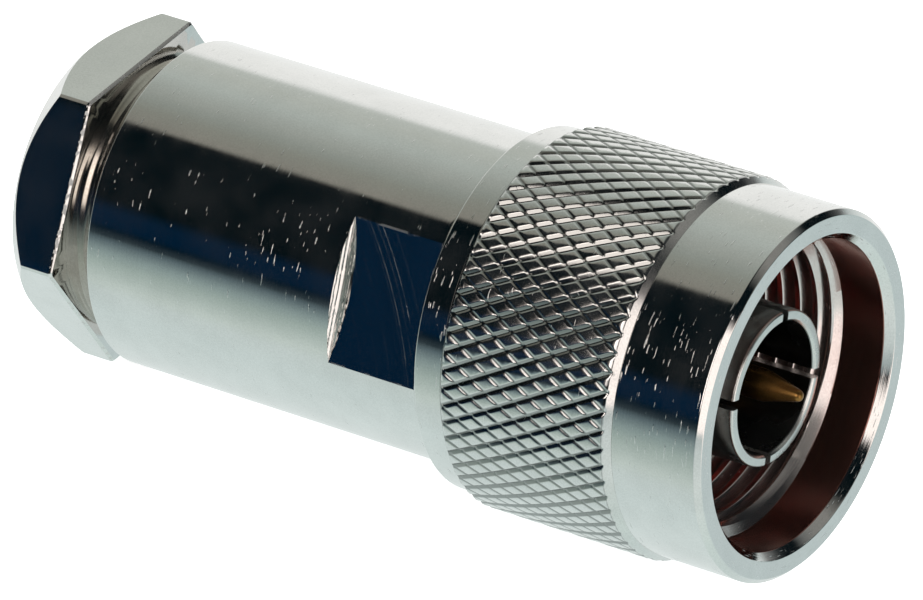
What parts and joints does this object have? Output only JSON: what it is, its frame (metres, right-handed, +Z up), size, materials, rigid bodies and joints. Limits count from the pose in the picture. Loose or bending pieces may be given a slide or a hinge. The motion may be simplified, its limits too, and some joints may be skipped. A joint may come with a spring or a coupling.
{
  "type": "n type connector plug",
  "caption": "Coaxial screw-coupling plug with a knurled coupling nut, a slotted outer contact round a gold pin, a turned body with wrench flats and a hexagonal cable clamp nut.",
  "frame": {"origin": "centre of the end face of the slotted outer contact, on the connector's axis", "axes": "+X along the axis towards the mating end, +Z up with the plug lying on one flat of the clamp nut's hexagon"},
  "size_m": [0.0434, 0.0202, 0.0202],
  "materials": {
    "nickel_plate": "bright nickel plate over turned brass",
    "contact_plate": "bright plate over spring bronze",
    "gold_plate": "gold plate",
    "plain_brass": "plated brass, satin",
    "spring_steel": "spring wire, dull",
    "white_ptfe": "white fluoropolymer, waxy",
    "red_silicone": "silicone rubber, satin",
    "black_rubber": "rubber, matt"
  },
  "bodies": {
    "plug_body": {"body_shell": "nickel_plate", "outer_contact": "contact_plate", "seat_gasket": "red_silicone", "retaining_ring": "spring_steel", "front_insulator": "white_ptfe", "center_pin": "gold_plate", "rear_insulator": "white_ptfe", "braid_clamp": "plain_brass", "cable_gasket": "black_rubber"},
    "coupling": {"coupling_nut": "nickel_plate"},
    "clamp_washer": {"slip_washer": "plain_brass"},
    "clamp": {"clamp_nut": "nickel_plate"}
  },
  "joints": [
    {"name": "coupling_spin", "type": "hinge", "parent": "plug_body", "child": "coupling", "pos_m": [-0.008, 0, 0], "axis": [1, 0, 0], "continuous": true},
    {"name": "clamp_travel", "type": "slide", "parent": "plug_body", "child": "clamp_washer", "axis": [-1, 0, 0], "range_m": [0, 0.0046]},
    {"name": "clamp_turn", "type": "hinge", "parent": "clamp_washer", "child": "clamp", "pos_m": [-0.036, 0, 0], "axis": [-1, 0, 0], "range_deg": [0, 2160]}
  ],
  "couplings": [
    {"joint": "clamp_travel", "follows": "clamp_turn", "m_per_rad": 0.00011937}
  ]
}
